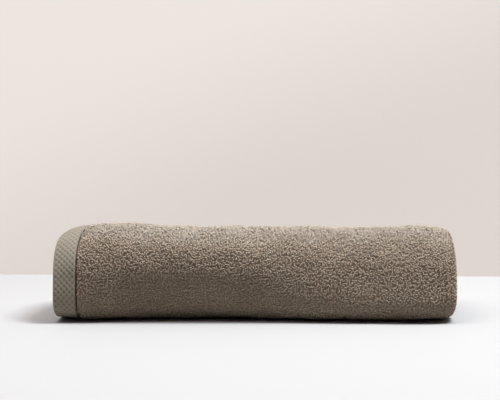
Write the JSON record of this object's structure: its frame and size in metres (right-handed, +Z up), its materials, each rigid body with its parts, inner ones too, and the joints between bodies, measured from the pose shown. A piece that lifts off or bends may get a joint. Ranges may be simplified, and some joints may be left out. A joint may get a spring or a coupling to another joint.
{
  "type": "rolled bath towel",
  "caption": "Taupe terry bath towel, folded lengthwise and rolled up, with a flat woven hem at one end, resting on its side.",
  "frame": {"origin": "under the middle of the roll, on the surface it rests on", "axes": "+X along the roll, from the woven hem end to the folded end; +Z up; -Y is the front, and the free edge is tucked under the back, towards +Y"},
  "size_m": [0.4662, 0.155, 0.1089],
  "materials": {
    "terry": "matt looped cotton pile"
  },
  "bodies": {
    "root": {"towel": "terry"}
  },
  "joints": []
}
